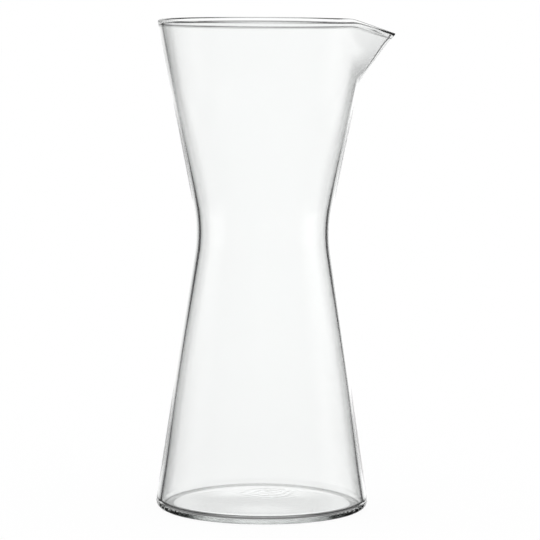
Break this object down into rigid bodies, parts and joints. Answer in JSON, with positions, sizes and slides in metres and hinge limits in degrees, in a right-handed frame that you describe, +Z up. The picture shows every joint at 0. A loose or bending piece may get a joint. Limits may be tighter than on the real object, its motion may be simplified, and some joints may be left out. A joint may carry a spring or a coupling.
{
  "type": "water carafe",
  "caption": "Hourglass water carafe of clear glass with a flared mouth, a narrow waist to hold, a wide standing foot, a fire-polished rim and a pulled pouring spout.",
  "frame": {"origin": "centre of the foot's flat ring, on the table", "axes": "+Z up along the carafe's axis, +X the way the spout points, +Y to its left seen from above with the spout ahead"},
  "size_m": [0.1159, 0.1042, 0.24],
  "materials": {
    "clear_glass": "polished clear glass, fire-polished at the rim"
  },
  "bodies": {
    "root": {"floor_dome": "clear_glass", "foot_ring": "clear_glass", "lower_cone": "clear_glass", "waist": "clear_glass", "upper_cone": "clear_glass", "rim_bead": "clear_glass", "spout": "clear_glass", "spout_lip": "clear_glass"}
  },
  "joints": []
}
